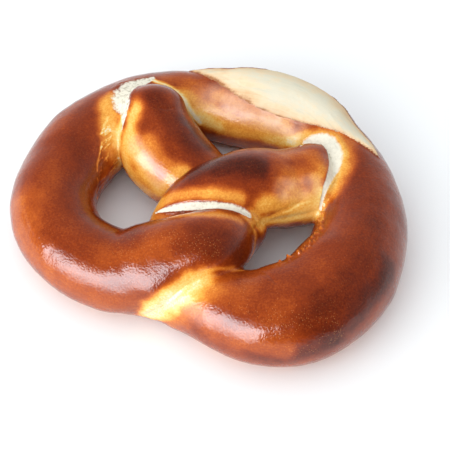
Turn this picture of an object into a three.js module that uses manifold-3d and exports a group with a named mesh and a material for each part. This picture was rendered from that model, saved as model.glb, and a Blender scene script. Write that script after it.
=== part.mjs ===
// A soft pretzel: one rope of dough, thick round the outside and thin at its two ends. It is laid
// in a ring, wound once round itself in the middle, and pressed down on its own shoulders. Along
// the top of the belly the scored crust has torn open, and the pale crumb swells out of the tear.
// Millimetres, +Z up. The belly lies towards +Y, the dip between the two lobes towards -Y, and
// the flat base rests on z = 0.
import * as THREE from 'three';
import { mergeVertices } from 'three/addons/utils/BufferGeometryUtils.js';
import Module from 'manifold-3d';

// Driving dimensions
const TALL = 0.94; // half height of the rope over its half width
const SEAT = 0.84; // how high the middle of a lying rope is, over its half height
const TIP = 10; // length over which an end of the rope rounds off

// The split: a long lens over the top of the belly. Angles go round a section in degrees,
// from 0 at the inside of the ring over 90 at the top to 180 at the outside.
const SPLIT_HALF_LENGTH = 44; // along the rope
const SPLIT_AHEAD = 17.5; // how far its middle lies to the right of the belly's middle
const SPLIT_TIP_ANGLE = 132; // where its two pointed ends are
const SPLIT_INNER = 79; // how far its inner edge comes over from there
const SPLIT_OUTER = 36; // how far its outer edge goes down from there
const SPLIT_SWELL = 2.6; // how far the crumb stands out of the crust in the middle of the lens
const SPLIT_LEDGE = 0.4; // how far it stands out along the lens's edge
const SPLIT_DEPTH = 5; // how deep the swollen crumb is rooted in the dough

// Fineness of the skin
const STEP = 3.8; // distance between two sections along the rope
const SIDES = 32; // corners of a section
const SPLIT_SIDES = 14; // panels across the split
const TIP_SHARES = [0.02, 0.09, 0.2, 0.36, 0.58]; // sections in a rounded end, over its length

// The rope's middle line with its half width, from the left end to the right one.
// Where no height is given, the rope lies on its own flat base.
const LEFT_ARM = [
  { x: -42, y: 35.5, z: 28, half: 9 }, // end, on the left shoulder
  { x: -38.5, y: 28, z: 27, half: 12.5 },
  { x: -35, y: 20.5, z: 22.5, half: 15.5 },
  { x: -28, y: 13, z: 17, half: 18 },
  { x: -15.5, y: 7.5, z: 13, half: 16.8 },
  { x: -2.5, y: 3, z: 12, half: 14 }, // under the right arm
  { x: 8, y: -8.5, z: 16, half: 13 },
  { x: 12, y: -21.5, z: 21.5, half: 13.5 }, // right edge of the twist
  { x: 8, y: -32, z: 25.5, half: 14.5 }, // over the right arm
  { x: -1.5, y: -37.5, z: 24, half: 14.8 },
  { x: -12.5, y: -43, z: 18, half: 16.8 }, // left side of the dip
];
const RING = [
  { x: -24, y: -47, z: 14.2, half: 16.9 },
  { x: -47, y: -42, half: 17 },
  { x: -61.5, y: -24.5, half: 17.5 }, // left lobe
  { x: -62, y: 5.5, half: 17.3 },
  { x: -53, y: 27, half: 16.5 },
  { x: -43.5, y: 39.5, half: 15.2 }, // left shoulder
  { x: -26.5, y: 46.5, half: 15 },
  { x: -4, y: 49.5, half: 16 }, // belly
  { x: 18, y: 50, half: 16.2 },
  { x: 38.5, y: 39.5, half: 16.5 }, // right shoulder
  { x: 52, y: 22, half: 17.2 },
  { x: 59.5, y: 4, half: 18.5 },
  { x: 60.5, y: -20.5, half: 20 }, // right lobe
  { x: 51.5, y: -40.5, half: 19.3 },
  { x: 36, y: -49, half: 18.3 },
];
const RIGHT_ARM = [
  { x: 22.5, y: -49, z: 13.5, half: 16.5 }, // right side of the dip
  { x: 7.5, y: -44, z: 10.5, half: 14.5 },
  { x: -3.5, y: -35.5, z: 10, half: 13.5 }, // under the left arm
  { x: -7.5, y: -24.5, z: 14, half: 13 }, // left edge of the twist
  { x: -5, y: -15.5, z: 21, half: 13.5 },
  { x: 3, y: -7, z: 26, half: 14.3 }, // over the left arm
  { x: 13.5, y: 1, z: 25.3, half: 16 },
  { x: 25.5, y: 9.5, z: 20, half: 16.5 },
  { x: 35.5, y: 17, z: 18.5, half: 16.5 },
  { x: 42.5, y: 22.5, z: 18.5, half: 15 }, // end, on the right shoulder
];
const BELLY = LEFT_ARM.length + 7; // the belly's station, counted from the left end

// The dough that has run together in the dip, between the two arms.
const WEB = [
  { x: -23, y: -47, z: 9, half: 10.5 },
  { x: -11, y: -47, z: 9, half: 11 },
  { x: 1, y: -47, z: 9, half: 11.5 },
  { x: 13, y: -48.5, z: 9.5, half: 12 },
];

// A rope of dough through a row of stations.
class Rope {
  constructor(stations) {
    const spot = (s) => new THREE.Vector3(s.x, s.y, s.z ?? s.half * TALL * SEAT);
    // The two curves share one parameter: one gives the place, the other the half width.
    this.middle = new THREE.CatmullRomCurve3(stations.map(spot));
    this.girth = new THREE.CatmullRomCurve3(stations.map((s) => new THREE.Vector3(s.half, 0, 0)));
    this.middle.arcLengthDivisions = 50 * (stations.length - 1);
    this.lengths = this.middle.getLengths();
    this.length = this.lengths.at(-1);
    this.last = stations.length - 1;
  }

  // How far along the rope a station lies.
  reach(station) {
    return this.lengths[50 * station];
  }

  // Places about a step apart between two stations, closer together in a rounded end.
  places(from, to) {
    const [low, high] = [this.reach(from), this.reach(to)];
    const count = Math.ceil((high - low) / STEP);
    const even = Array.from({ length: count + 1 }, (_, i) => low + ((high - low) * i) / count);
    const clear = even.filter((at) => Math.min(at, this.length - at) > 0.8 * TIP);
    const start = from === 0 ? TIP_SHARES.map((share) => share * TIP) : [];
    const end = to === this.last ? TIP_SHARES.map((share) => this.length - share * TIP) : [];
    return [...start, ...clear, ...end.reverse()];
  }

  // The points of one section, each given by its angle in degrees and by how far it stands out
  // of the crust. The crust is an ellipse across the rope, pressed flat where it meets the table.
  section(place, corners) {
    const t = this.middle.getUtoTmapping(place / this.length);
    const centre = this.middle.getPoint(t);
    const along = this.middle.getTangent(t);
    const side = new THREE.Vector3().crossVectors(along, new THREE.Vector3(0, 0, 1)).normalize();
    const up = new THREE.Vector3().crossVectors(side, along);
    const toEnd = Math.min(place, this.length - place, TIP) / TIP;
    const half = this.girth.getPoint(t).x * Math.sqrt(1 - (1 - toEnd) ** 2);
    return corners.map(({ angle, out }) => {
      const turn = THREE.MathUtils.degToRad(angle);
      const point = centre
        .clone()
        .addScaledVector(side, (half + out) * Math.cos(turn))
        .addScaledVector(up, (half * TALL + out) * Math.sin(turn));
      point.z = Math.max(point.z, 0);
      return point;
    });
  }

  // A length of the rope as a row of whole sections.
  sections(from, to) {
    const round = Array.from({ length: SIDES }, (_, i) => ({ angle: (360 * i) / SIDES, out: 0 }));
    return this.places(from, to).map((place) => this.section(place, round));
  }
}

// A closed skin over a row of sections, with a fan over each end.
function skin(sections) {
  const points = sections.flat();
  const faces = [];
  const sides = sections[0].length;
  const last = sections.length - 1;
  const pair = (row, i) => [row * sides + i, row * sides + ((i + 1) % sides)];
  for (let row = 0; row < last; row += 1) {
    for (let i = 0; i < sides; i += 1) {
      const [a, b] = pair(row, i);
      faces.push(a, a + sides, b, b, a + sides, b + sides);
    }
  }
  for (const row of [0, last]) {
    const hub = points.length;
    const middle = sections[row].reduce((sum, p) => sum.add(p), new THREE.Vector3());
    points.push(middle.divideScalar(sides));
    for (let i = 0; i < sides; i += 1) {
      const [a, b] = pair(row, i);
      faces.push(hub, ...(row === 0 ? [a, b] : [b, a]));
    }
  }
  const geometry = new THREE.BufferGeometry().setFromPoints(points);
  geometry.setIndex(faces);
  return geometry;
}

// The swollen crumb of the split: a long pillow whose upper side stands out of the crust inside
// the lens, highest along the lens's middle, and whose lower side is rooted in the dough.
function splitCrumb(rope) {
  const middle = rope.reach(BELLY) + SPLIT_AHEAD;
  const rows = Math.ceil((2 * SPLIT_HALF_LENGTH) / STEP);
  return Array.from({ length: rows + 1 }, (_, row) => {
    const along = 0.99 * Math.sin((Math.PI * (row / rows - 0.5)));
    const width = 1 - along ** 2;
    const inner = SPLIT_TIP_ANGLE - SPLIT_INNER * width;
    const outer = SPLIT_TIP_ANGLE + SPLIT_OUTER * width;
    const corner = (share, out) => ({ angle: THREE.MathUtils.lerp(inner, outer, share), out });
    const swell = (share) => {
      const dome = 1 - (2 * share - 1) ** 2;
      return Math.sqrt(width) * (SPLIT_LEDGE + (SPLIT_SWELL - SPLIT_LEDGE) * dome);
    };
    const shares = Array.from({ length: SPLIT_SIDES + 1 }, (_, i) => i / SPLIT_SIDES);
    const upper = shares.map((share) => corner(share, swell(share)));
    const lower = [1, 0.67, 0.33, 0].map((share) => corner(share, -SPLIT_DEPTH * width));
    return rope.section(middle + SPLIT_HALF_LENGTH * along, [...upper, ...lower]);
  });
}

const wasm = await Module();
wasm.setup();

// A closed geometry as a solid that can be joined and cut.
function solid(geometry) {
  const merged = mergeVertices(geometry, 1e-4);
  return new wasm.Manifold(
    new wasm.Mesh({
      numProp: 3,
      vertProperties: merged.attributes.position.array,
      triVerts: new Uint32Array(merged.index.array),
    }),
  );
}

// The whole pretzel: the rope in three lengths that don't meet themselves, the swollen split
// and the web in the dip, fused into one piece.
function bakedDough() {
  const rope = new Rope([...LEFT_ARM, ...RING, ...RIGHT_ARM]);
  const web = new Rope(WEB);
  const ringStart = LEFT_ARM.length;
  const ringEnd = ringStart + RING.length;
  const pieces = [
    rope.sections(0, ringStart),
    rope.sections(ringStart, ringEnd),
    rope.sections(ringEnd, rope.last),
    splitCrumb(rope),
    web.sections(0, web.last),
  ];
  return pieces.map((sections) => solid(skin(sections))).reduce((sum, piece) => sum.add(piece));
}

const baked = bakedDough().getMesh();
const geometry = new THREE.BufferGeometry();
geometry.setAttribute('position', new THREE.BufferAttribute(baked.vertProperties, 3));
geometry.setIndex(new THREE.BufferAttribute(baked.triVerts, 1));
geometry.computeVertexNormals();
geometry.computeBoundingBox();

const crust = new THREE.MeshStandardMaterial({ color: 0x8a3a16, roughness: 0.35, metalness: 0 });
const pretzel = new THREE.Mesh(geometry, crust);
pretzel.name = 'pretzel';

const part = new THREE.Group();
part.add(pretzel);
export default part;
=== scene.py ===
"""A soft pretzel with a glossy lye crust, on a pale floor.

The baked dough starts as a copy of the CAD solid. It is remeshed finely, pulled onto the smooth
round rope that the dough was rolled into, and then given what the oven did to it: the swollen
split, the torn patches, folds, wrinkles and blisters. Where the crust is dark, golden or torn is
kept in attributes of the mesh, and one material turns them into colour, gloss and grain.
Lengths are in millimetres until a mesh is written, which is in metres.
"""
import math

import bpy
import numpy as np
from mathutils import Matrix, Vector, noise
from mathutils.bvhtree import BVHTree


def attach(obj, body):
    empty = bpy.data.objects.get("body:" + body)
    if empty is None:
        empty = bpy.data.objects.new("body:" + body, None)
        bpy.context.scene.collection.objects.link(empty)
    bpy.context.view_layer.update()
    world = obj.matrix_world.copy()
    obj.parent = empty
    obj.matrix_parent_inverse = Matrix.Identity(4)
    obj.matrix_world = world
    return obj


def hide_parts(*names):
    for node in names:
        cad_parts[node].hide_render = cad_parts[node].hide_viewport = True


MM = 0.001

# The camera, at the photograph's viewing angle
PHOTO_SIZE = 450  # pixels each way
VIEW_AZIMUTH = 20  # degrees round from -Y towards +X
VIEW_ELEVATION = 53
VIEW_DISTANCE = 500
VIEW_TARGET = (8.0, -12.5, 15.0)
LENS = 100
SENSOR = 36

# The rope: x, y, z and half width at each station, from the left end to the right one, as in
# the solid. Where no height is given, the rope lies on its own flat base.
TALL = 0.94  # half height over half width
SEAT = 0.84  # height of a lying rope's middle over its half height
TIP = 10  # length over which an end rounds off
LEFT_ARM = [
    (-42, 35.5, 28, 9),
    (-38.5, 28, 27, 12.5),
    (-35, 20.5, 22.5, 15.5),
    (-28, 13, 17, 18),
    (-15.5, 7.5, 13, 16.8),
    (-2.5, 3, 12, 14),
    (8, -8.5, 16, 13),
    (12, -21.5, 21.5, 13.5),
    (8, -32, 25.5, 14.5),
    (-1.5, -37.5, 24, 14.8),
    (-12.5, -43, 18, 16.8),
]
RING = [
    (-24, -47, 14.2, 16.9),
    (-47, -42, None, 17),
    (-61.5, -24.5, None, 17.5),
    (-62, 5.5, None, 17.3),
    (-53, 27, None, 16.5),
    (-43.5, 39.5, None, 15.2),
    (-26.5, 46.5, None, 15),
    (-4, 49.5, None, 16),
    (18, 50, None, 16.2),
    (38.5, 39.5, None, 16.5),
    (52, 22, None, 17.2),
    (59.5, 4, None, 18.5),
    (60.5, -20.5, None, 20),
    (51.5, -40.5, None, 19.3),
    (36, -49, None, 18.3),
]
RIGHT_ARM = [
    (22.5, -49, 13.5, 16.5),
    (7.5, -44, 10.5, 14.5),
    (-3.5, -35.5, 10, 13.5),
    (-7.5, -24.5, 14, 13),
    (-5, -15.5, 21, 13.5),
    (3, -7, 26, 14.3),
    (13.5, 1, 25.3, 16),
    (25.5, 9.5, 20, 16.5),
    (35.5, 17, 18.5, 16.5),
    (42.5, 22.5, 18.5, 15),
]
BELLY = len(LEFT_ARM) + 7
WEB = [
    (-23, -47, 9, 10.5),
    (-11, -47, 9, 11),
    (1, -47, 9, 11.5),
    (13, -48.5, 9.5, 12),
]


class Rope:
    """A rope of dough through stations, sampled closely along its middle line."""

    PER_STATION = 24
    BLOCK = 6000  # points measured at a time

    def __init__(self, stations):
        rows = [(x, y, half * TALL * SEAT if z is None else z, half) for x, y, z, half in stations]
        spots = np.array([row[:3] for row in rows], float)
        girths = np.array([(row[3], 0, 0) for row in rows], float)
        count = self.PER_STATION * (len(rows) - 1) + 1
        params = np.linspace(0, len(rows) - 1, count)
        self.middle = np.array([self.spline(spots, t) for t in params])
        self.half = np.array([self.spline(girths, t)[0] for t in params])
        along = np.gradient(self.middle, axis=0)
        self.along = along / np.linalg.norm(along, axis=1)[:, None]
        side = np.cross(self.along, (0, 0, 1))
        self.side = side / np.linalg.norm(side, axis=1)[:, None]
        self.up = np.cross(self.side, self.along)
        steps = np.linalg.norm(np.diff(self.middle, axis=0), axis=1)
        self.place = np.concatenate([[0], np.cumsum(steps)])

    @staticmethod
    def spline(rows, t):
        """Centripetal Catmull-Rom through the rows, as in the solid."""
        last = len(rows) - 1
        i = min(int(t), last - 1)
        share = t - i
        p1, p2 = rows[i], rows[i + 1]
        p0 = rows[i - 1] if i > 0 else 2 * rows[0] - rows[1]
        p3 = rows[i + 2] if i + 2 <= last else 2 * rows[-1] - rows[-2]

        def gap(a, b):
            distance = np.linalg.norm(a - b)
            return math.sqrt(distance) if distance > 1e-8 else 0.0

        g1 = gap(p1, p2) or 1.0
        g0 = gap(p0, p1) or g1
        g2 = gap(p2, p3) or g1
        start = ((p1 - p0) / g0 - (p2 - p0) / (g0 + g1) + (p2 - p1) / g1) * g1
        end = ((p2 - p1) / g1 - (p3 - p1) / (g1 + g2) + (p3 - p2) / g2) * g1
        square = -3 * p1 + 3 * p2 - 2 * start - end
        cube = 2 * p1 - 2 * p2 + start + end
        return p1 + start * share + square * share**2 + cube * share**3

    def nearest(self, points, barred=None, apart=60.0):
        """For each point: place along the rope, angle round the section and height over the crust.

        With barred places, only rope that lies at least apart from them along its length counts.
        """
        inner = (self.place >= TIP) & (self.place <= self.place[-1] - TIP)
        index = np.nonzero(inner)[0]
        side, up, along = self.side[index], self.up[index], self.along[index]
        middle, half, place = self.middle[index], self.half[index], self.place[index]
        out = np.empty((len(points), 3))
        for start in range(0, len(points), self.BLOCK):
            part = slice(start, start + self.BLOCK)
            chunk = points[part]
            a = chunk @ side.T - (middle * side).sum(1)
            b = chunk @ up.T - (middle * up).sum(1)
            c = chunk @ along.T - (middle * along).sum(1)
            share = (a / half) ** 2 + (b / (half * TALL)) ** 2 + (c / TIP) ** 2
            if barred is not None:
                close = np.abs(place - barred[part, None]) < apart
                share = np.where(close, np.inf, share)
            pick = np.argmin(share, axis=1)
            row = np.arange(len(chunk))
            a, b, c = a[row, pick], b[row, pick], c[row, pick]
            reach = np.sqrt(a * a + b * b + c * c)
            ratio = np.sqrt(share[row, pick])
            out[part, 0] = place[pick]
            out[part, 1] = np.degrees(np.arctan2(b, a))
            out[part, 2] = reach - reach / np.maximum(ratio, 1e-6)
        return out


def smooth_min(a, b, width):
    """The smaller of two heights, with the corner between them filled over a width."""
    overlap = np.maximum(width - np.abs(a - b), 0) / width
    return np.minimum(a, b) - overlap**2 * width / 4


def smoothstep(low, high, value):
    """0 below low, 1 above high and an even curve between."""
    share = np.clip((value - low) / (high - low), 0, 1)
    return share * share * (3 - 2 * share)


def ripple(points, size, seed, depth=2):
    """Smooth noise between about -1 and 1, with bumps of a size."""
    shift = Vector((seed * 17.3, seed * 5.1, seed * 9.7))
    return np.array([noise.fractal(Vector(p) / size + shift, 1.0, 2.0, depth) for p in points])


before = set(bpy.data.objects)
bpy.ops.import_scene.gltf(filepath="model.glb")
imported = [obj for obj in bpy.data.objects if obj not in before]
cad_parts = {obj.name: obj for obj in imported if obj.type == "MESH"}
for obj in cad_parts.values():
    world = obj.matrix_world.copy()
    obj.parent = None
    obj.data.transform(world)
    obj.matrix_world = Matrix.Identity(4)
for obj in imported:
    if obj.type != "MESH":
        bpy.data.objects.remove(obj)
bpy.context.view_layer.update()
rope = Rope(LEFT_ARM + RING + RIGHT_ARM)
web = Rope(WEB)
BELLY_PLACE = rope.place[Rope.PER_STATION * BELLY]


# Camera

def camera_axes():
    """Unit vectors back to the camera, to the picture's right and to its top."""
    turn, rise = math.radians(VIEW_AZIMUTH), math.radians(VIEW_ELEVATION)
    back = Vector(
        (math.sin(turn) * math.cos(rise), -math.cos(turn) * math.cos(rise), math.sin(rise))
    )
    right = Vector((math.cos(turn), math.sin(turn), 0))
    return back, right, back.cross(right)


def add_camera():
    back, _, _ = camera_axes()
    data = bpy.data.cameras.new("camera")
    data.lens = LENS
    data.sensor_width = SENSOR
    data.clip_start = 0.01
    camera = bpy.data.objects.new("camera", data)
    camera.location = (Vector(VIEW_TARGET) + back * VIEW_DISTANCE) * MM
    camera.rotation_euler = (-back).to_track_quat("-Z", "Y").to_euler()
    bpy.context.scene.collection.objects.link(camera)
    bpy.context.scene.camera = camera


def sight_line(pixel):
    """The camera's place and the direction through a pixel of the photograph, in millimetres."""
    back, right, top = camera_axes()
    scale = SENSOR / (LENS * PHOTO_SIZE)
    across = (pixel[0] - PHOTO_SIZE / 2) * scale
    down = (pixel[1] - PHOTO_SIZE / 2) * scale
    eye = Vector(VIEW_TARGET) + back * VIEW_DISTANCE
    return eye, (-back + right * across - top * down).normalized()


add_camera()


# The dough

VOXEL = 0.97  # side of the remeshed dough's faces
ROUND = 16  # a usual half width of the rope, which turns angles round it into lengths
SEAM_ANGLE = -60  # angles round the rope are counted on from here, below its inner side
FARTHEST_PULL = 1.5  # a point is pulled no further than this at a time
FIRST_PULLS = (1.0, 0.9)  # strengths of the pulls onto the smooth rope
LATER_PULLS = (0.9, 0.9)  # and after some faces have been split finer
CREASE_FILL = 1.4  # width over which dough fills a crease between two lengths of the rope
# Where more dough fills the crease: middle, size, width that is added
FILLED = [
    ((0, -48, 8), 16, 7),  # the dip, where the two arms have run together
    ((-41, 33, 27), 12, 2.5),  # where the left end is pressed on
    ((42, 22, 24), 12, 2.5),  # where the right end is pressed on
]
WEB_FILL = 5.0  # width over which the web runs into the arms
FOOT_FILL = 1.0  # width over which the dough rounds off on the table
# Where the dough bulges out further than the rope: middle, size, height (below 0 for a dent)
BULGES = [
    ((-70, 11, 27), 16, 0.9),  # outside of the left lobe
    ((-1, -56, 22), 11, 2.0),  # front of the left arm
    ((44, -22, 27), 8, 2.4),  # rim of the right hole
    ((37, -34, 26), 8.5, 3.0),  # rim of the right hole, further left
    ((21.5, -12.5, 19.5), 5.5, 3.2),  # right arm, beside the twist
    ((25, -22, 24.5), 6, -1.2),  # left arm, beside the right hole
    ((36, 27, 29), 6, 2.6),  # far corner of the right end
    ((-10, 43, 26), 7, 0.9),  # crust along the near edge of the split
    ((1, 42, 26), 7, 1.0),
    ((12, 41.5, 26), 7, 0.8),
]

# The split, as in the solid: angles go round the section from 0 inside over 90 at the top
SPLIT_HALF_LENGTH = 44
SPLIT_AHEAD = 17.5
SPLIT_TIP_ANGLE = 132
SPLIT_INNER = 79
SPLIT_OUTER = 36
SPLIT_SWELL = 2.6
SPLIT_LEDGE = 0.4
LEDGE_RISE = (-1.02, -0.95)  # shares across the split over which its near ledge rises
LEDGE_FALL = (-0.5, 0.8)  # and over which it falls off again
SPLIT_REACH = 5  # how far outside its edge the depth inside the split is still measured
SPLIT_DEEPEST = 20  # and how far inside
# Where the far crust's edge lies: share of the half length, degrees from the tips' angle
FAR_RIM = [(-1, 0), (-0.6, -13), (-0.3, -2), (0, 8), (0.35, 8), (0.6, 2), (0.85, 1), (1, 0)]
# The pillow's own unevenness: place from the belly's middle, angle, sizes of both, height
SPLIT_UNEVEN = [(4, 118, 19, 36, 2.5), (45, 135, 9.5, 30, -2.7)]


def fine_copy():
    """A finely and evenly meshed copy of the CAD dough, merged so that it has no loose edges."""
    bpy.ops.object.select_all(action="DESELECT")
    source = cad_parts["pretzel"]
    dough = source.copy()
    dough.data = source.data.copy()
    for key in list(dough.keys()):
        del dough[key]
    dough.parent = None
    dough.name = dough.data.name = "baked_dough"
    bpy.context.scene.collection.objects.link(dough)
    bpy.context.view_layer.objects.active = dough
    dough.select_set(True)
    bpy.ops.object.mode_set(mode="EDIT")
    bpy.ops.mesh.select_all(action="SELECT")
    bpy.ops.mesh.remove_doubles(threshold=0.01 * MM)
    bpy.ops.object.mode_set(mode="OBJECT")
    remesh = dough.modifiers.new("even faces", "REMESH")
    remesh.mode = "VOXEL"
    remesh.voxel_size = VOXEL * MM
    bpy.ops.object.modifier_apply(modifier=remesh.name)
    relax = dough.modifiers.new("relaxed faces", "SMOOTH")
    relax.factor = 0.5
    relax.iterations = 4
    bpy.ops.object.modifier_apply(modifier=relax.name)
    dough.data.materials.clear()
    bpy.ops.object.shade_smooth()
    return dough


def read_points(mesh):
    flat = np.empty(len(mesh.vertices) * 3, np.float32)
    mesh.vertices.foreach_get("co", flat)
    return flat.reshape(-1, 3).astype(float) / MM


def write_points(mesh, points):
    mesh.vertices.foreach_set("co", (points * MM).astype(np.float32).ravel())
    mesh.update()


def read_normals(mesh):
    flat = np.empty(len(mesh.vertices) * 3, np.float32)
    mesh.vertex_normals.foreach_get("vector", flat)
    return flat.reshape(-1, 3).astype(float)


def near(points, spot, size):
    """1 at a spot, falling to 0 over a few sizes."""
    return np.exp(-(((points - np.array(spot)) / size) ** 2).sum(1))


def unrolled(angle):
    """Angles counted on from the seam, so that none jumps back inside the split."""
    return np.where(angle < SEAM_ANGLE, angle + 360, angle)


def past_split_middle(place):
    """Millimetres along the rope from the middle of the split, more than 0 to its right."""
    return place - BELLY_PLACE - SPLIT_AHEAD


def lens_share(place, angle):
    """Across the split: -1 at its inner edge, 1 at its outer edge. Also how wide it is there."""
    along = past_split_middle(place) / SPLIT_HALF_LENGTH
    width = np.clip(1 - along**2, 0.002, 1)
    centre = SPLIT_TIP_ANGLE + (SPLIT_OUTER - SPLIT_INNER) / 2 * width
    half = (SPLIT_OUTER + SPLIT_INNER) / 2 * width
    return (unrolled(angle) - centre) / half, np.where(np.abs(along) < 1, width, 0)


def split_height(place, angle):
    """How far the swollen crumb stands out of the crust: a dome with a ledge along its near edge."""
    share, width = lens_share(place, angle)
    dome = np.clip(1 - share**2, 0, 1)
    ledge = SPLIT_LEDGE * smoothstep(*LEDGE_RISE, share) * (1 - smoothstep(*LEDGE_FALL, share))
    height = np.sqrt(width) * ((SPLIT_SWELL - SPLIT_LEDGE * 0.5) * dome + ledge)
    for spot, turn, length, spread, rise in SPLIT_UNEVEN:
        away = ((place - BELLY_PLACE - spot) / length) ** 2 + ((angle % 360 - turn) / spread) ** 2
        height = height + rise * np.exp(-away)
    return height


def split_depth(place, angle):
    """Millimetres inside the bare crumb's edge, less than 0 outside it, and the share across it."""
    along = past_split_middle(place) / SPLIT_HALF_LENGTH
    width = np.clip(1 - along**2, 0, 1)
    far = SPLIT_TIP_ANGLE + np.interp(along, *zip(*FAR_RIM))
    close = SPLIT_TIP_ANGLE - SPLIT_INNER * width
    turned = unrolled(angle)
    depth = np.radians(np.minimum(turned - close, far - turned)) * ROUND
    share = (2 * turned - close - far) / np.maximum(far - close, 1)
    return np.where(width > 0, np.clip(depth, -SPLIT_REACH, SPLIT_DEEPEST), -SPLIT_REACH), share


def surface_height(points):
    """Height over the smooth dough, and where each point lies on its nearest length of rope."""
    first = rope.nearest(points)
    second = rope.nearest(points, barred=first[:, 0])
    joined = web.nearest(points)[:, 2]
    fill = CREASE_FILL + sum(added * near(points, spot, size) for spot, size, added in FILLED)
    own = first[:, 2] - split_height(first[:, 0], first[:, 1])
    for spot, size, rise in BULGES:
        own = own - rise * near(points, spot, size)
    height = smooth_min(own, second[:, 2], fill)
    height = smooth_min(height, joined, WEB_FILL)
    height = -smooth_min(-height, points[:, 2], FOOT_FILL)
    return height, first


def shape_dough(dough, strengths):
    """Pulls the remeshed dough onto the smooth rope."""
    mesh = dough.data
    points = read_points(mesh)
    for strength in strengths:
        height, first = surface_height(points)
        pull = np.clip(height, -FARTHEST_PULL, FARTHEST_PULL) * strength
        points -= read_normals(mesh) * pull[:, None]
        points[:, 2] = np.maximum(points[:, 2], 0)
        write_points(mesh, points)
    return points, first


# Marks on the dough, each laid along pixels of the photograph and measured on the dough that the
# camera sees there.

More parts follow.
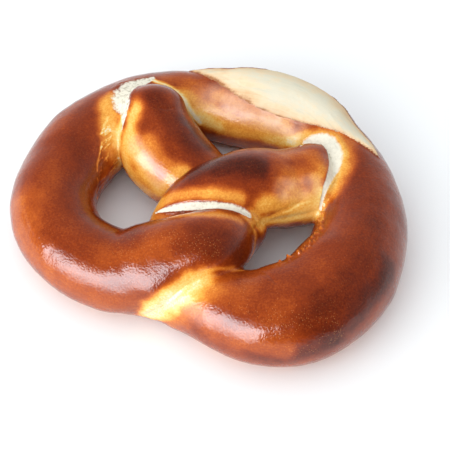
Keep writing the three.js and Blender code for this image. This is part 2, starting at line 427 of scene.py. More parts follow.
# Browning: reach in millimetres, browning from 0 (raw) to 1 (darkest), strength, pixels
BROWNING = {
    "left lobe flank": (11, 0.47, 0.9, [(20, 165), (19, 205), (30, 245), (48, 270)]),
    "left lobe lower flank": (9, 0.57, 0.9, [(62, 283), (85, 296), (110, 303), (132, 305)]),
    "left lobe crown": (10, 0.77, 0.9, [
        (88, 108), (78, 135), (75, 165), (80, 195), (92, 222), (110, 236), (126, 239),
    ]),
    "left lobe top": (6, 0.66, 0.7, [(62, 118), (75, 104), (92, 92)]),
    "left arm foot": (8, 0.6, 0.8, [(105, 255), (130, 255), (155, 248), (180, 255)]),
    "left arm dark end": (8, 0.84, 0.9, [(198, 232), (215, 236), (232, 240), (240, 255)]),
    "left arm dark flank": (6, 0.8, 0.8, [(182, 247), (200, 250), (222, 252)]),
    "left arm right rim": (2.4, 0.33, 0.9, [(243, 216), (252, 224), (256, 236), (254, 250), (248, 262)]),
    "left arm lower rim": (1.8, 0.32, 0.9, [(208, 271), (218, 268), (230, 268), (242, 270)]),
    "left arm upper rim": (3.6, 0.33, 0.9, [(152, 220), (175, 216), (200, 214), (225, 216), (240, 220)]),
    "right lobe crown": (13, 0.8, 0.85, [(368, 170), (372, 220), (362, 270), (345, 303), (315, 322)]),
    "right lobe dark foot": (11, 0.88, 0.7, [(310, 322), (335, 312), (356, 290)]),
    # Browner crust on the right lobe's lower flank, and darker still as painted shade on this side, turned
    # from the light
    "right lobe lower flank": (7, 0.9, 0.9, [(255, 352), (280, 357), (305, 352), (332, 339)]),
    "right lobe outer flank": (6, 0.72, 0.9, [(388, 182), (397, 212), (396, 245)]),
    # Browner crust on the right lobe's front flank, and darker still as painted shade on this side, turned
    # from the light
    "right lobe front flank": (7, 0.94, 0.9, [
        (388, 268), (383, 280), (369, 302), (352, 321), (332, 337),
    ]),
    "right lobe beside the web": (5, 0.74, 0.8, [(226, 281), (245, 284), (262, 285)]),
    "left arm lower dark edge": (3, 0.72, 0.8, [(206, 262), (216, 262), (228, 262)]),
    "right lobe left end": (8, 0.58, 0.8, [(225, 285), (235, 300), (248, 288)]),
    "right lobe inner edge": (3.5, 0.6, 0.7, [(322, 215), (315, 242), (298, 254), (278, 264)]),
    "right lobe front": (7, 0.52, 0.9, [(205, 320), (225, 335), (255, 345), (285, 352)]),
    "belly top": (4.5, 0.56, 0.9, [(165, 78), (190, 82), (211, 91)]),
    "belly near the split": (5.5, 0.33, 0.9, [(220, 96), (240, 106), (262, 115), (280, 121)]),
    "belly front": (8.5, 0.29, 1, [(183, 95), (198, 107), (220, 116), (245, 123), (280, 128)]),
    "belly front lower": (5.5, 0.26, 0.9, [(194, 113), (207, 122), (224, 130), (243, 134), (264, 136)]),
    # Golden crust, painted paler here as painted light against the shade the left end casts on the belly
    "belly left golden": (4, 0.13, 0.9, [(200, 117), (209, 122), (219, 126)]),
    "belly right": (4, 0.52, 0.9, [(304, 125), (320, 129), (335, 134), (352, 143)]),
    "belly right golden": (5.5, 0.2, 1, [(270, 138), (282, 141), (306, 139)]),
    "belly right yellow": (3.5, 0.12, 1, [(290, 141), (298, 141), (306, 139)]),
    "belly underside": (3.5, 0.55, 0.8, [(212, 138), (235, 143), (262, 147)]),
    "right halo outer": (4, 0.48, 1, [(336, 133), (348, 145), (351, 158), (344, 176), (334, 195)]),
    "right halo": (4.8, 0.22, 1, [(303, 141), (318, 135), (336, 139), (342, 155), (337, 172), (328, 190)]),
    "right halo tail": (2.6, 0.3, 1, [(326, 196), (322, 210), (320, 222)]),
    "left end outline": (1.7, -0.02, 0.9, [
        (152, 80), (160, 83), (168, 86), (176, 91), (182, 97), (186, 103), (190, 110), (195, 117),
        (200, 123),
    ]),
    "left halo": (7, 0.24, 1, [(111, 99), (108, 108), (109, 125), (112, 140)]),
    "left halo foot": (7, 0.3, 1, [(111, 146), (115, 157), (117, 163)]),
    "left hole wall": (4, 0.55, 1, [(106, 172), (103, 184), (101, 196)]),
    "left hole corner": (3, 0.33, 0.9, [(110, 173), (116, 170), (121, 167)]),
    "left halo line": (0.6, 0.1, 0.8, [(109, 116), (107, 121), (104, 125), (103, 130), (101, 134)]),
    "left halo lower line": (0.6, 0.2, 0.8, [(102, 142), (100, 150), (99, 156), (97, 164), (97, 171)]),
    "left hole line": (0.6, 0.3, 0.8, [(97, 178), (98, 184), (97, 190), (98, 198)]),
    "left crease": (3.6, 0.1, 1, [(124, 112), (120, 128), (119, 145), (120, 163)]),
    "left end flank": (5.5, 0.2, 1, [(138, 105), (134, 113), (131, 123), (129, 133), (129, 143)]),
    "left end pale flank": (7.5, 0.24, 1, [(129, 142), (136, 154), (147, 171), (157, 188)]),
    "left end middle": (6, 0.38, 0.9, [(147, 140), (157, 157), (169, 170)]),
    "left end front": (4.5, 0.24, 1, [(158, 192), (172, 179), (184, 171)]),
    "left end lower edge": (7.5, 0.23, 1, [
        (124, 152), (126, 164), (134, 178), (144, 191), (151, 199), (157, 205),
    ]),
    "left end scratch": (0.8, 0.3, 0.9, [(160, 109), (166, 110), (173, 109)]),
    "left end crown": (8.5, 0.84, 1, [(154, 97), (165, 110), (177, 130), (192, 145)]),
    "left end back": (4, 0.9, 1, [(183, 120), (196, 135), (208, 147)]),
    "right arm cap": (10, 0.9, 1, [(198, 172), (215, 166), (240, 163), (260, 167)]),
    "right arm yellow": (4.4, 0.29, 1, [(160, 203), (175, 197), (195, 194), (220, 194), (240, 198)]),
    "right end crown": (6.5, 0.5, 1, [(284, 157), (296, 155), (314, 155), (320, 166)]),
    "right end middle": (6, 0.47, 1, [(281, 172), (296, 172), (314, 170)]),
    "right end dark blot": (2.2, 0.66, 0.7, [(287, 161), (292, 163)]),
    "right end left edge": (5, 0.66, 0.7, [(276, 158), (275, 175), (269, 190)]),
    "right end right edge": (3, 0.33, 0.8, [(322, 168), (320, 178), (318, 188)]),
    "right end golden": (8, 0.24, 1, [(266, 206), (288, 204), (308, 200), (316, 212)]),
    "right end lower edge": (5.5, 0.21, 1, [(262, 224), (280, 220), (300, 216), (316, 213)]),
    # Painted highlights: three paler streaks where the window's gloss runs down the right end
    "right end left streak": (4, 0.3, 0.5, [(281, 181), (283, 190), (285, 201)]),
    "right end middle streak": (4, 0.3, 0.5, [(295, 181), (298, 190), (300, 199)]),
    "right end right streak": (3.5, 0.22, 0.7, [(314, 178), (316, 186), (316, 197)]),
    "right end tip": (2.6, 0.16, 1, [(321, 190), (319, 200), (318, 210)]),
    "right end pale line": (0.7, 0.08, 0.6, [(284, 213), (291, 210), (299, 205), (310, 201)]),
    "twist crease": (4, 0.3, 0.9, [(253, 215), (257, 221), (261, 228)]),
    "web halo below": (10, 0.4, 1, [(172, 318), (190, 306), (207, 288)]),
    "web halo above": (5, 0.25, 1, [(148, 304), (168, 292), (190, 277)]),
    "web yellow": (6.8, 0.15, 1, [(150, 313), (172, 300), (190, 287), (203, 277)]),
    "web core": (7, 0.02, 0.9, [(149, 314), (159, 309), (170, 302), (180, 296)]),
    "web core's right end": (3, 0.04, 0.9, [(180, 296), (188, 291), (197, 284)]),
}
PLAIN_BROWNING = 0.68
FOOT_BROWNING = 0.56  # on the flanks, down by the table
FOOT_HEIGHT = 14
UNDERSIDE_BROWNING = 0.42
UNDERSIDE = (-0.5, -0.9)  # heights of the normal between which the flank turns into the underside
UNEVEN_STROKES = 0.35  # share by which a stroke's reach wanders
UNEVEN_NOISE = (7, 3, 4)  # size of the noise by which it wanders, seed, depth

# How coarsely the crumb of each torn patch is crackled
COARSE = {"left crescent": 1.0, "right crescent": 0.25, "band": 0.5}

# Torn patches of pale crumb: pixels with the half width there in millimetres
TORN = {
    "left crescent": [
        (153, 78, 1.2), (142, 82, 3.2), (132, 88, 5.6), (125, 98, 6.7), (124, 107, 4.6),
        (124, 115, 2.0), (122, 128, 0.5), (121, 158, 0.3),
    ],
    "right crescent": [
        (301, 146, 0.8), (306, 143, 1.5), (312, 140, 2.4), (320, 139, 3.4), (328, 141, 4.0),
        (334, 149, 3.9), (335, 158, 3.7), (333, 167, 3.1), (330, 177, 2.2), (326, 187, 1.4),
        (323, 197, 0.9), (320, 210, 0.5),
    ],
    "band": [
        (150, 217, 0.5), (156, 213, 1.1), (165, 210, 1.6), (175, 208, 1.9), (190, 206, 2.1),
        (205, 206, 2.2), (220, 207, 2.1), (232, 208, 2.0), (242, 211, 1.7), (249, 215, 0.9),
    ],
}

# Folds and ridges: half width and height in millimetres, pixels
FOLDS = {
    "right end upper fold": (1.2, -0.45, [(262, 222), (280, 212), (300, 203)]),
    "right end lower fold": (1.3, -0.5, [(255, 228), (270, 222), (290, 218), (318, 212)]),
    "right arm groove": (2.6, -0.25, [(268, 155), (268, 175), (266, 195), (257, 215)]),
    "split seam": (0.5, -0.2, [(216, 72), (230, 79), (243, 86), (258, 93), (276, 101)]),
    "split hollow": (4, -0.5, [(225, 80), (250, 93), (285, 106), (325, 118)]),
    "right end left streak": (1.6, -0.25, [(279, 176), (284, 189), (283, 201)]),
    "right end right streak": (1.6, -0.25, [(297, 174), (302, 186), (304, 197)]),
    "left end scratch": (0.5, -0.3, [(160, 108), (166, 109), (173, 108)]),
    "right lobe scratch": (0.6, -0.3, [(264, 272), (270, 276), (276, 283)]),
    "left lobe line": (1.2, 0.2, [(26, 208), (32, 226), (45, 249)]),
    "upper web ridge": (2.2, 0.3, [(148, 309), (158, 302), (170, 294), (182, 286), (194, 278)]),
    "lower web ridge": (2, 0.3, [(152, 318), (162, 311), (176, 301), (188, 292), (200, 283)]),
    "twist crease": (0.6, -0.5, [(254, 217), (258, 223), (262, 230)]),
    "web fold": (1.1, -0.35, [(146, 314), (158, 309), (170, 301), (184, 292), (198, 281)]),
}

# Where the crust is crackled: reach in millimetres, pixels
CRACKLED = {
    "left hole wall": (5, [(107, 130), (104, 150), (102, 172), (99, 197)]),
    "left hole corner": (5, [(117, 158), (112, 171), (108, 184)]),
    "right shoulder": (2.6, [(328, 194), (323, 208), (319, 222)]),
}

# Where rough crumbs stick out: reach in millimetres, pixels
RAGGED = {
    "right hole rim": (2.6, [(321, 215), (319, 231), (312, 243), (301, 251), (290, 258), (278, 264)]),
}

# Where fine wrinkles make the crust's gloss satin: reach in millimetres, pixels
SATIN = {
    "belly": (10, [(205, 93), (225, 100), (245, 109), (265, 117), (290, 125)]),
    "web": (7, [(172, 302), (184, 310), (194, 318)]),
}

# Where a pale, rosy sheen is painted into the crust's colour as a painted highlight, with its gloss dulled
# there too: reach in millimetres, pixels
PAINTED_SHEEN = {
    "belly": (7, [(228, 102), (246, 109), (262, 114), (274, 118)]),
}
# Where the painted sheen is fainter
FAINT_PAINTED_SHEEN = {
    "belly": (9, [(214, 97), (232, 104), (255, 112), (278, 119), (294, 123)]),
    "left end": (5.5, [(134, 144), (146, 160), (159, 181)]),
    "right end": (6.5, [(285, 190), (298, 190), (313, 186)]),
}

# Where the split's crumb has a darker skin: reach in millimetres, pixels
SKINNED = {
    "left of the split": (8, [(215, 76), (232, 83), (250, 90)]),
}

# Where small blisters show as pale specks: reach in millimetres, pixels
SPECKLED = {
    "left foot": (10, [(125, 242), (150, 244), (175, 245), (200, 250), (215, 255)]),
    "right lobe left end": (10, [(235, 290), (262, 305), (290, 318)]),
    "right lobe foot": (9, [(280, 345), (310, 343), (335, 328)]),
    "belly top": (6, [(170, 78), (195, 84), (212, 95)]),
}

# These marks run over both lengths of the rope where they meet
ACROSS = {
    "web core", "web core's right end", "web yellow", "web halo below", "web halo above",
    "upper web ridge", "lower web ridge", "web fold",
    "left crescent", "left halo", "right crescent", "right halo",
    "left crease", "left end outline", "left end lower edge", "left hole wall", "left hole corner",
    "twist crease",
}


class Marks:
    """Measures how far the points of the dough lie from the marks."""

    PAST_THE_END = 14  # a mark reaches no further than this along the rope
    STROKE = (0.15, 1.05)  # shares of its reach over which a stroke of browning fades out
    MASK = (0.3, 1.0)  # and over which a mask does

    def __init__(self, dough, points, places):
        faces = [tuple(face.vertices) for face in dough.data.polygons]
        self.tree = BVHTree.FromPolygons([tuple(p * MM) for p in points], faces)
        self.points = points
        self.places = places

    def spots(self, pixels):
        """The points of the dough that the camera sees at some pixels."""
        found = []
        for pixel in pixels:
            eye, direction = sight_line(pixel)
            spot = self.tree.ray_cast(eye * MM, direction)[0]
            if spot is not None:
                found.append(tuple(spot / MM))
        return np.array(found)

    def shares(self, name, pixels, widths):
        """Each point's distance from a line of pixels, over the line's width at its nearest spot."""
        line = self.spots(pixels)
        best = np.full(len(self.points), np.inf)
        share = np.full(len(self.points), np.inf)
        for i in range(len(line) - 1):
            span = line[i + 1] - line[i]
            along = np.clip((self.points - line[i]) @ span / max(span @ span, 1e-9), 0, 1)
            distance = np.linalg.norm(self.points - line[i] - along[:, None] * span, axis=1)
            width = widths[i] + (widths[i + 1] - widths[i]) * along
            closer = distance < best
            share = np.where(closer, distance / width, share)
            best = np.where(closer, distance, best)
        if name not in ACROSS:
            own = rope.nearest(line)[:, 0]
            low, high = own.min() - self.PAST_THE_END, own.max() + self.PAST_THE_END
            share[(self.places < low) | (self.places > high)] = np.inf
        return share

    def torn_shares(self):
        """Each torn patch's name, with the points' distances from it over its width."""
        for name, marks in TORN.items():
            pixels = [mark[:2] for mark in marks]
            widths = [mark[2] for mark in marks]
            yield name, self.shares(name, pixels, widths)

    def torn(self):
        """1 in the middle of a torn patch, 0 at its edge, -1 a width away from it."""
        torn = np.full(len(self.points), -1.0)
        for name, shares in self.torn_shares():
            torn = np.maximum(torn, np.clip(1 - shares, -1, 1))
        return torn

    def coarse(self):
        """How coarsely the crumb is crackled, from the torn patch that is nearest."""
        nearest = np.full(len(self.points), np.inf)
        coarse = np.zeros(len(self.points))
        for name, shares in self.torn_shares():
            coarse = np.where(shares < nearest, COARSE[name], coarse)
            nearest = np.minimum(shares, nearest)
        return coarse

    def browning(self):
        """The crust's browning: a plain one, paler by the table, with the strokes over it."""
        uneven = 1 + UNEVEN_STROKES * ripple(self.points, *UNEVEN_NOISE)
        foot = 1 - smoothstep(0, FOOT_HEIGHT, self.points[:, 2])
        brown = PLAIN_BROWNING + (FOOT_BROWNING - PLAIN_BROWNING) * foot
        for name, (reach, target, strength, pixels) in BROWNING.items():
            shares = self.shares(name, pixels, [reach] * len(pixels)) * uneven
            brown += (target - brown) * (1 - smoothstep(*self.STROKE, shares)) * strength
        return brown

    def mask(self, strokes):
        """1 along some strokes, 0 past their reach."""
        mask = np.zeros(len(self.points))
        for name, (reach, pixels) in strokes.items():
            shares = self.shares(name, pixels, [reach] * len(pixels))
            mask = np.maximum(mask, 1 - smoothstep(*self.MASK, shares))
        return mask

    def folds(self):
        """Height of the folds and ridges."""
        height = np.zeros(len(self.points))
        for name, (width, rise, pixels) in FOLDS.items():
            shares = self.shares(name, pixels, [width] * len(pixels))
            height += rise * np.exp(-(shares**2))
        return height


def refine(dough, wanted):
    """Splits each face that has a wanted corner into smaller ones."""
    mesh = dough.data
    chosen = np.zeros(len(mesh.polygons), bool)
    for i, face in enumerate(mesh.polygons):
        chosen[i] = wanted[list(face.vertices)].any()
    bpy.ops.object.mode_set(mode="EDIT")
    bpy.ops.mesh.select_mode(type="FACE")
    bpy.ops.mesh.select_all(action="DESELECT")
    bpy.ops.object.mode_set(mode="OBJECT")
    mesh.polygons.foreach_set("select", chosen)
    bpy.ops.object.mode_set(mode="EDIT")
    bpy.ops.mesh.subdivide(number_cuts=1, quadcorner="INNERVERT")
    bpy.ops.object.mode_set(mode="OBJECT")
    bpy.ops.object.shade_smooth()


# Waves of the crust: height and size in millimetres, seed of their noise
WAVES = [(0.45, 24, 1), (0.16, 9, 2)]
WRINKLES = (0.05, 3.5, 11)
CALM_SPLIT = 0.5  # share by which the waves are lower in the split
# The crackled crust: its cracks' length and width, how they wind, its height, its height's middle
CRACK_LENGTH = 11
CRACK_WIDTH = 2.2
CRACK_WINDING = (0.15, 4, 9)  # amount, size, seed
CRACK_SHARPNESS = 3
CRACKLE_HEIGHT = 0.3
CRACKLE_MIDDLE = 0.4
CRUMB_SIZE = 1.7  # size of the crumbs in the ragged and torn patches
CRUMB_LEVEL = 0.1  # level of the noise above which a crumb sticks out of the ragged crust
CRUMB_STEEPNESS = 3.2
CRUMB_GROUND = 0.1  # how far the ragged crust between the crumbs is sunk
TORN_SUNK = 0.25  # how far a torn patch is sunk
TORN_ROUGH = 0.11  # how rough it is
LIP_HEIGHT = 0.22  # the lip of crust round it
LIP_OUT = 0.12  # how far outside the patch the lip is highest, over the patch's half width
LIP_HALF_WIDTH = 0.2  # over the same
# The crust's curled edge along the split
NEAR_CURL_HEIGHT = 0.16
FAR_CURL_HEIGHT = 0.35
CURL_OUT = 0.35  # how far outside the split it is highest
CURL_HALF_WIDTH = 0.4
CURL_REACH = 4  # nothing is curled further out than this
SPLIT_EDGE = 1.5  # the split's crumb is fully rough from this depth on
STRAND_LENGTH = 16  # strands of crumb in the split, drawn out along the rope
STRAND_WIDTH = 2.4
STRAND_HEIGHT = 0.16
FOOT_CALM = 1.5  # height above the table from which all this shows fully


def drawn_out(place, angle, length, width):
    """Spots for a noise whose bumps are drawn out along the rope."""
    return np.stack([place / length, np.radians(angle) * ROUND / width, 0 * place], axis=1)


def crack_lines(points, place, angle):
    """0 to 1, high along thin winding lines drawn out along the rope."""
    amount, size, seed = CRACK_WINDING
    spots = drawn_out(place, angle, CRACK_LENGTH, CRACK_WIDTH)
    wound = spots + amount * ripple(points, size, seed)[:, None]
    return 1 - np.minimum(np.abs(ripple(wound, 1, 8, 3)) * CRACK_SHARPNESS, 1)


def ragged_crumbs(points):
    """The noise whose peaks are the rough crumbs that stick out."""
    return ripple(points, CRUMB_SIZE, 12)


def detail_height(points, place, angle, torn, crackled, ragged, folds):
    """What the oven adds to the smooth dough, along its normals."""
    depth, share = split_depth(place, angle)
    inside = smoothstep(0, SPLIT_EDGE, depth)
    bare = smoothstep(0.0, 0.35, torn)
    waves = sum(height * ripple(points, size, seed) for height, size, seed in WAVES)
    height = waves * (1 - CALM_SPLIT * inside)
    height += WRINKLES[0] * ripple(points, *WRINKLES[1:])
    height += folds
    height += crackled * CRACKLE_HEIGHT * (crack_lines(points, place, angle) - CRACKLE_MIDDLE)
    crumbs = np.maximum(ragged_crumbs(points) - CRUMB_LEVEL, 0)
    height += ragged * (CRUMB_STEEPNESS * crumbs - CRUMB_GROUND)
    # A torn patch is sunk and rough, with a lip of crust round it
    height += bare * (TORN_ROUGH * ripple(points, CRUMB_SIZE, 4) - TORN_SUNK)
    lip = np.exp(-(((torn + LIP_OUT) / LIP_HALF_WIDTH) ** 2))
    height += LIP_HEIGHT * lip * (1 + ripple(points, 3, 5))
    # The crust's edge curls up along both sides of the split
    curl = np.exp(-(((depth + CURL_OUT) / CURL_HALF_WIDTH) ** 2))
    curl *= (0.7 + 0.8 * ripple(points, 4, 6)) * (depth > -CURL_REACH)
    height += np.where(share < 0, NEAR_CURL_HEIGHT, FAR_CURL_HEIGHT) * curl
    strands = ripple(drawn_out(place, angle, STRAND_LENGTH, STRAND_WIDTH), 1, 7)
    height += inside * STRAND_HEIGHT * strands
    return height


# Faces are split finer where a mark is stronger than this, or the split's edge is this close
FINE_TORN = -0.6
FINE_FOLD = 0.15
FINE_SPLIT = 1.4
FINE_CRACKLED = 0.3
FINE_RAGGED = 0.1

dough = fine_copy()
points, first = shape_dough(dough, FIRST_PULLS)
marks = Marks(dough, points, first[:, 0])
depth, across = split_depth(first[:, 0], first[:, 1])
fine = marks.torn() > FINE_TORN
fine |= np.abs(marks.folds()) > FINE_FOLD
fine |= np.abs(depth) < FINE_SPLIT
fine |= marks.mask(CRACKLED) > FINE_CRACKLED
fine |= marks.mask(RAGGED) > FINE_RAGGED
refine(dough, fine)
points, first = shape_dough(dough, LATER_PULLS)
place, angle = first[:, 0], first[:, 1]
marks = Marks(dough, points, place)
torn = marks.torn()
crackled = marks.mask(CRACKLED)
ragged = marks.mask(RAGGED)
normals = read_normals(dough.data)
rise = detail_height(points, place, angle, torn, crackled, ragged, marks.folds())
rise *= smoothstep(0.0, FOOT_CALM, points[:, 2])
write_points(dough.data, points + normals * rise[:, None])


# What the material reads from the mesh

CRACKLED_DARKER = 0.05  # browning added to the crackled crust
CRACK_PALER = 0.27  # browning taken off along its cracks
CRACK_CORE = (0.55, 1.0)  # levels of the crack lines over which that sets in
CRUMB_BROWNING = 0.42  # of the rough crumbs that stick out
CRUMB_PEAK = (0.1, 0.5)  # levels of their noise over which that sets in
EDGE_TOAST = 0.9  # how toasted the split's crumb is along its edge
EDGE_TOAST_WIDTH = 3
FAR_TOAST = 0.4  # along its far side, to the left
FAR_TOAST_RISE = 0.4  # what is added there to the right
FAR_TOAST_PLACES = (-15, 45)  # places from the split's middle over which that is added
NEAR_TOAST = 0.5  # along its near side
SKIN_TOAST = 0.35  # added where the crumb has a darker skin
FAINT = 0.55  # strength of the faint painted sheen


def set_attribute(name, values):
    attribute = dough.data.attributes.new(name, "FLOAT", "POINT")
    attribute.data.foreach_set("value", values.astype(np.float32))


cracks = crack_lines(points, place, angle) * crackled
brown = marks.browning()
brown += crackled * (CRACKLED_DARKER - CRACK_PALER * smoothstep(*CRACK_CORE, cracks))
brown += (CRUMB_BROWNING - brown) * ragged * smoothstep(*CRUMB_PEAK, ragged_crumbs(points))
brown += (UNDERSIDE_BROWNING - brown) * smoothstep(*UNDERSIDE, normals[:, 2])
depth, across = split_depth(place, angle)
far_toast = FAR_TOAST + FAR_TOAST_RISE * smoothstep(*FAR_TOAST_PLACES, past_split_middle(place))
toast = np.maximum(EDGE_TOAST - depth / EDGE_TOAST_WIDTH, far_toast * smoothstep(0.0, 0.8, across))
toast = np.maximum(toast, NEAR_TOAST * smoothstep(-0.35, -0.9, across))
toast += SKIN_TOAST * marks.mask(SKINNED)
set_attribute("browning", brown)
set_attribute("torn", torn)
set_attribute("split", np.clip(depth / SPLIT_REACH, -1, 1))
set_attribute("toast", np.clip(toast, 0, 1))
set_attribute("coarse", marks.coarse())
set_attribute("satin", marks.mask(SATIN))
# The mask of the painted rosy sheen, a painted highlight that also dulls the gloss
set_attribute("painted_sheen", np.maximum(marks.mask(PAINTED_SHEEN), FAINT * marks.mask(FAINT_PAINTED_SHEEN)))
set_attribute("speckled", marks.mask(SPECKLED))
set_attribute("along", place * MM)
set_attribute("around", np.radians(unrolled(angle)) * ROUND * MM)


# Floor and light

FLOOR_COLOUR = (0.895, 0.90, 0.9, 1)
WINDOW_AZIMUTH = -21
# The window's name, azimuth, elevation, distance, size, watts and tint
WINDOW = ("front window", WINDOW_AZIMUTH, 22, 1.2, (1.34, 1.04), 12, (1, 0.98, 0.95))
# The window's gloss on the crust, fading towards its foot: elevation, height in metres, watts
WINDOW_GLARE = [
    ("upper glare", 30, 0.44, 17),
    ("middle glare", 14, 0.25, 6.6),
    ("lower glare", 2, 0.29, 4.2),
]
GLARE_DISTANCE = 1.19
GLARE_WIDTH = 1.33
GLARE_TINT = (0.85, 1, 1.1)

# How bright the studio looks in the crust's gloss, by the height of the direction
GLOSS_SKY = [(0.0, 0.95), (0.17, 0.8), (0.34, 0.6), (0.5, 0.42), (0.7, 0.3), (1.0, 0.22)]
GLOSS_MIDDLE = 0.48  # share of it that is left to both sides
GLOSS_BACK = 0.75  # what is added towards the back and taken off towards the front
GLOSS_FRONT = 0.04  # the least that is left in front
ROOM_LOW = 0.25  # the studio's light at the horizon
ROOM_RISE = 1.22  # what is added straight above
ROOM_LEFT = 0.42  # share by which the left is brighter than the middle
ROOM_FRONT = 0.28  # share by which the front is brighter than the middle
ROOM_TINT = (0.965, 1, 1.03, 1)


def add_floor():
    bpy.ops.object.select_all(action="DESELECT")
    bpy.ops.mesh.primitive_plane_add(size=4, location=(0, 0, 0))
    floor = bpy.context.object
    floor.name = floor.data.name = "floor"
    material = bpy.data.materials.new("pale floor")
    material.use_nodes = True
    shader = material.node_tree.nodes["Principled BSDF"]
    shader.inputs["Base Color"].default_value = FLOOR_COLOUR
    shader.inputs["Roughness"].default_value = 0.9
    shader.inputs["Specular IOR Level"].default_value = 0.1
    floor.data.materials.append(material)


def add_softbox(name, azimuth, elevation, distance, size, watts, tint, glare_only=False):
    """A rectangular soft light aimed at the dough. Azimuth is from -Y towards +X, as a camera's.

    Distance and size are in metres. A glare only shows in the gloss and lights nothing.
    """
    turn, rise = math.radians(azimuth), math.radians(elevation)
    toward = Vector(
        (math.sin(turn) * math.cos(rise), -math.cos(turn) * math.cos(rise), math.sin(rise))
    )
    data = bpy.data.lights.new(name, "AREA")
    data.shape = "RECTANGLE"
    data.size, data.size_y = size
    data.energy = watts
    data.color = tint
    light = bpy.data.objects.new(name, data)
    light.location = toward * distance
    light.rotation_euler = toward.to_track_quat("Z", "Y").to_euler()
    light.visible_diffuse = not glare_only
    bpy.context.scene.collection.objects.link(light)


def add_sky():
    """A pale studio round the table, brightest above and to the left.

    The gloss sees a darker ceiling, as it does under a diffuser that is flagged off.
    """
    world = bpy.data.worlds.new("studio")
    bpy.context.scene.world = world
    world.use_nodes = True
    nodes, links = world.node_tree.nodes, world.node_tree.links
    nodes.clear()

    def value(operation, *inputs):
        node = nodes.new("ShaderNodeMath")
        node.operation = operation
        for socket, given in zip(node.inputs, inputs):
            if isinstance(given, float):
                socket.default_value = given
            else:
                links.new(given, socket)
        return node.outputs[0]

    output = nodes.new("ShaderNodeOutputWorld")
    mirrored = nodes.new("ShaderNodeBackground")
    room = nodes.new("ShaderNodeBackground")
    mix = nodes.new("ShaderNodeMixShader")
    path = nodes.new("ShaderNodeLightPath")
    spot = nodes.new("ShaderNodeTexCoord")
    parts = nodes.new("ShaderNodeSeparateXYZ")
    ramp = nodes.new("ShaderNodeValToRGB")
    links.new(spot.outputs["Generated"], parts.inputs["Vector"])
    links.new(parts.outputs["Z"], ramp.inputs["Fac"])
    links.new(ramp.outputs["Color"], mirrored.inputs["Color"])
    above = value("MAXIMUM", parts.outputs["Z"], 0.0)
    level = value("MULTIPLY_ADD", above, ROOM_RISE, ROOM_LOW)
    side = value("MULTIPLY_ADD", parts.outputs["X"], -ROOM_LEFT, 1.0)
    side = value("MULTIPLY_ADD", parts.outputs["Y"], -ROOM_FRONT, side)
    links.new(value("MULTIPLY", level, side), room.inputs["Strength"])
    back = value("MULTIPLY_ADD", parts.outputs["Y"], GLOSS_BACK, GLOSS_MIDDLE)
    back = value("MINIMUM", value("MAXIMUM", back, GLOSS_FRONT), 1.0)
    links.new(back, mirrored.inputs["Strength"])
    links.new(path.outputs["Is Glossy Ray"], mix.inputs["Fac"])
    links.new(room.outputs["Background"], mix.inputs[1])
    links.new(mirrored.outputs["Background"], mix.inputs[2])
    links.new(mix.outputs["Shader"], output.inputs["Surface"])
    stops = ramp.color_ramp.elements
    while len(stops) < len(GLOSS_SKY):
        stops.new(0.5)
    for stop, (height, brightness) in zip(stops, GLOSS_SKY):
        stop.position = height
        stop.color = (brightness, brightness, brightness, 1)
    room.inputs["Color"].default_value = ROOM_TINT


add_floor()
add_sky()
add_softbox(*WINDOW)
for name, elevation, height, watts in WINDOW_GLARE:
    size = (GLARE_WIDTH, height)
    add_softbox(name, WINDOW_AZIMUTH, elevation, GLARE_DISTANCE, size, watts, GLARE_TINT, True)
bpy.context.scene.view_settings.view_transform = "Standard"


# The crust's material

CRUST_COLOURS = [
    (0.00, (238, 226, 192)),
    (0.12, (243, 204, 118)),
    (0.25, (233, 163, 67)),
    (0.40, (204, 112, 37)),
    (0.55, (168, 75, 21)),
    (0.70, (134, 50, 13)),
    (0.85, (100, 33, 10)),
    (1.00, (60, 18, 7)),
]
BLISTER = (222, 150, 82)
BLISTER_SIZE = 0.62
STREAKS_ALONG = 0.1  # fineness of the streaks along the rope, over that round it
# Colour of the painted sheen: a painted highlight mixed into the crust's colour
ROSY_SHEEN = (243, 203, 176)
CRUMB = (238, 231, 212)
# Painted shade: the crumb's colour in the hollows of its crackle
CRUMB_HOLLOW_SHADE = (194, 186, 164)
# The split's crumb, from raw to toasted
SPLIT_COLOURS = [
    (0.0, (219, 211, 188)),
    (0.35, (229, 208, 172)),
    (0.7, (228, 188, 143)),
    (1.0, (172, 112, 62)),
]
SPLIT_GREY = (196, 196, 176)
GLOSSY = 0.15  # roughness of the shiny crust
SATIN_ROUGHNESS = 0.4
CRUMB_ROUGHNESS = 0.8
SHEEN_DULLS = 0.7  # how far the painted sheen's mask takes the gloss towards satin
BUMP_HEIGHT = 0.8  # in millimetres


def linear(colour):
    """A colour picked on the 0 to 255 scale, as the shader wants it."""
    shares = [c / 255 for c in colour]
    return tuple(c / 12.92 if c <= 0.04045 else ((c + 0.055) / 1.055) ** 2.4 for c in shares) + (1,)


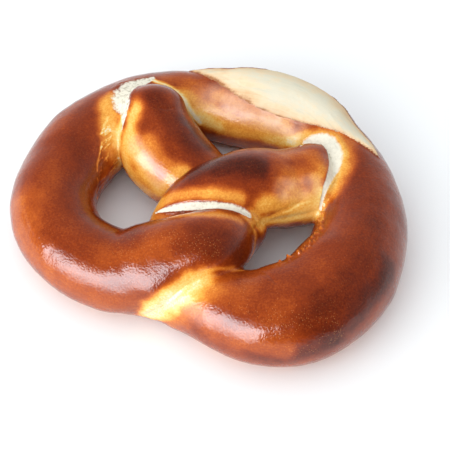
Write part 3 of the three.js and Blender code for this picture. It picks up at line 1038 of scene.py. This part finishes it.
class Nodes:
    """A material's nodes, added one by one and joined as they are made."""

    def __init__(self, material):
        self.tree = material.node_tree

    def add(self, kind, inputs=None, **settings):
        node = self.tree.nodes.new(kind)
        for key, value in settings.items():
            setattr(node, key, value)
        for key, value in (inputs or {}).items():
            if isinstance(value, bpy.types.NodeSocket):
                self.tree.links.new(value, node.inputs[key])
            else:
                node.inputs[key].default_value = value
        return node

    def attribute(self, name):
        return self.add("ShaderNodeAttribute", attribute_name=name).outputs["Fac"]

    def math(self, operation, a, b):
        return self.add("ShaderNodeMath", {0: a, 1: b}, operation=operation).outputs[0]

    def between(self, value, low, high, out_low=0.0, out_high=1.0):
        ends = {"From Min": low, "From Max": high, "To Min": out_low, "To Max": out_high}
        node = self.add(
            "ShaderNodeMapRange", {"Value": value, **ends}, interpolation_type="SMOOTHSTEP"
        )
        return node.outputs["Result"]

    def stirred(self, value, noise, low, high, spread=0.2):
        """A value with something added that runs from low to high with a noise."""
        added = self.between(noise, 0.5 - spread, 0.5 + spread, low, high)
        return self.math("ADD", value, added)

    def noise(self, spot, size, detail=2.0, roughness=0.5):
        """Noise around 0.5, with bumps of a size in millimetres."""
        inputs = {"Vector": spot, "Scale": 1 / (size * MM), "Detail": detail, "Roughness": roughness}
        return self.add("ShaderNodeTexNoise", inputs).outputs["Fac"]

    def mix(self, share, a, b):
        node = self.add("ShaderNodeMix", {"Factor": share}, data_type="RGBA")
        for socket, value in ((node.inputs[6], a), (node.inputs[7], b)):
            if isinstance(value, bpy.types.NodeSocket):
                self.tree.links.new(value, socket)
            else:
                socket.default_value = value
        return node.outputs[2]

    def ramp(self, value, stops):
        node = self.add("ShaderNodeValToRGB", {"Fac": value})
        elements = node.color_ramp.elements
        while len(elements) < len(stops):
            elements.new(0.5)
        for element, (place, colour) in zip(elements, stops):
            element.position = place
            element.color = linear(colour)
        return node.outputs["Color"]


def crust_colour(nodes, spot, freckles, streaks):
    """The baked crust: its browning with freckles and streaks, pale blisters and a painted rosy sheen."""
    brown = nodes.stirred(nodes.attribute("browning"), nodes.noise(spot, 16, 3), -0.05, 0.05)
    brown = nodes.stirred(brown, freckles, 0.06, -0.06, 0.25)
    brown = nodes.stirred(brown, streaks, -0.015, 0.015, 0.25)
    crust = nodes.ramp(brown, CRUST_COLOURS)

    blister = nodes.add("ShaderNodeTexVoronoi", {"Vector": spot, "Scale": 1 / (BLISTER_SIZE * MM)})
    picked = nodes.add("ShaderNodeSeparateColor", {"Color": blister.outputs["Color"]}).outputs["Red"]
    rare = nodes.between(nodes.noise(spot, 11, 2), 0.42, 0.62, 0.95, 0.45)
    dots = nodes.math("GREATER_THAN", picked, rare)
    for share in (
        nodes.between(blister.outputs["Distance"], 0.05, 0.4, 0.38, 0),
        nodes.between(brown, 0.4, 0.6),
        nodes.between(nodes.attribute("speckled"), 0, 1, 0.3, 1.2),
    ):
        dots = nodes.math("MULTIPLY", dots, share)
    crust = nodes.mix(dots, crust, linear(BLISTER))

    # Painted highlight: a patchy rosy sheen mixed into the crust's colour along its mask
    patchy = nodes.between(nodes.noise(spot, 5, 3, 0.5), 0.3, 0.7, 0.25, 0.5)
    sheen = nodes.math("MULTIPLY", nodes.attribute("painted_sheen"), patchy)
    return nodes.mix(sheen, crust, linear(ROSY_SHEEN))


def torn_crumb(nodes, spot, crackle):
    """Where the crust is torn off, with ragged edges, and the colour of the crumb there, with painted
    shade in its crackled hollows.
    """
    coarse = nodes.attribute("coarse")
    ragged = nodes.math("MULTIPLY", nodes.between(crackle, 0.3, 0.7, -0.07, 0.07), coarse)
    torn = nodes.math("ADD", nodes.attribute("torn"), ragged)
    torn = nodes.stirred(torn, nodes.noise(spot, 2.6, 3, 0.6), -0.08, 0.1)
    # Painted shade: the crumb is darker in the hollows of the crackle that its bump follows
    hollow_shade = nodes.math("MULTIPLY", nodes.between(crackle, 0.35, 0.52, 1, 0), coarse)
    return nodes.between(torn, 0.0, 0.4), nodes.mix(hollow_shade, linear(CRUMB), linear(CRUMB_HOLLOW_SHADE))


def split_crumb(nodes, spot, rope_spot, freckles, streaks):
    """Where the split is, with a wavy edge, and the colour of its crumb."""
    edge = nodes.stirred(nodes.attribute("split"), freckles, -0.02, 0.02)
    edge = nodes.stirred(edge, nodes.noise(spot, 2.5, 2), -0.04, 0.04)
    toast = nodes.stirred(nodes.attribute("toast"), streaks, -0.1, 0.1)
    toast = nodes.stirred(toast, nodes.noise(spot, 5, 3, 0.6), -0.12, 0.12)
    grey = nodes.between(nodes.noise(rope_spot, 2.2, 4, 0.7), 0.5, 0.75, 0, 0.5)
    colour = nodes.mix(grey, nodes.ramp(toast, SPLIT_COLOURS), linear(SPLIT_GREY))
    return nodes.between(edge, -0.02, 0.05), colour


def crust_material():
    material = bpy.data.materials.new("crust")
    material.use_nodes = True
    nodes = Nodes(material)
    spot = nodes.add("ShaderNodeTexCoord").outputs["Object"]
    rope_spot = nodes.add("ShaderNodeCombineXYZ", {
        "X": nodes.math("MULTIPLY", nodes.attribute("along"), STREAKS_ALONG),
        "Y": nodes.attribute("around"),
    }).outputs["Vector"]
    freckles = nodes.noise(spot, 0.8, 3, 0.7)
    streaks = nodes.noise(rope_spot, 1.5, 3, 0.6)
    crackle = nodes.noise(spot, 1.3, 3, 0.65)
    torn, torn_colour = torn_crumb(nodes, spot, crackle)
    split, split_colour = split_crumb(nodes, spot, rope_spot, freckles, streaks)
    colour = nodes.mix(torn, crust_colour(nodes, spot, freckles, streaks), torn_colour)
    colour = nodes.mix(split, colour, split_colour)

    raw = nodes.math("MAXIMUM", torn, split)
    dulled = nodes.math("MULTIPLY", nodes.attribute("painted_sheen"), SHEEN_DULLS)
    soft = nodes.math("MAXIMUM", nodes.attribute("satin"), dulled)
    roughness = nodes.math(
        "MAXIMUM",
        nodes.between(soft, 0, 1, GLOSSY, SATIN_ROUGHNESS),
        nodes.between(raw, 0, 1, GLOSSY, CRUMB_ROUGHNESS),
    )
    peel = nodes.math("ADD", nodes.noise(spot, 0.8, 2, 0.5), nodes.noise(spot, 3.2, 2, 0.5))
    grain = nodes.math("MULTIPLY", crackle, nodes.between(raw, 0, 1, 0.0, 0.4))
    height = nodes.math("ADD", nodes.math("MULTIPLY", peel, 0.18), grain)
    bump = nodes.add(
        "ShaderNodeBump", {"Height": height, "Strength": 0.6, "Distance": BUMP_HEIGHT * MM}
    )
    shader = material.node_tree.nodes["Principled BSDF"]
    link = material.node_tree.links.new
    link(colour, shader.inputs["Base Color"])
    link(roughness, shader.inputs["Roughness"])
    link(bump.outputs["Normal"], shader.inputs["Normal"])
    return material


dough.data.materials.append(crust_material())
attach(dough, "root")
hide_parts("pretzel")
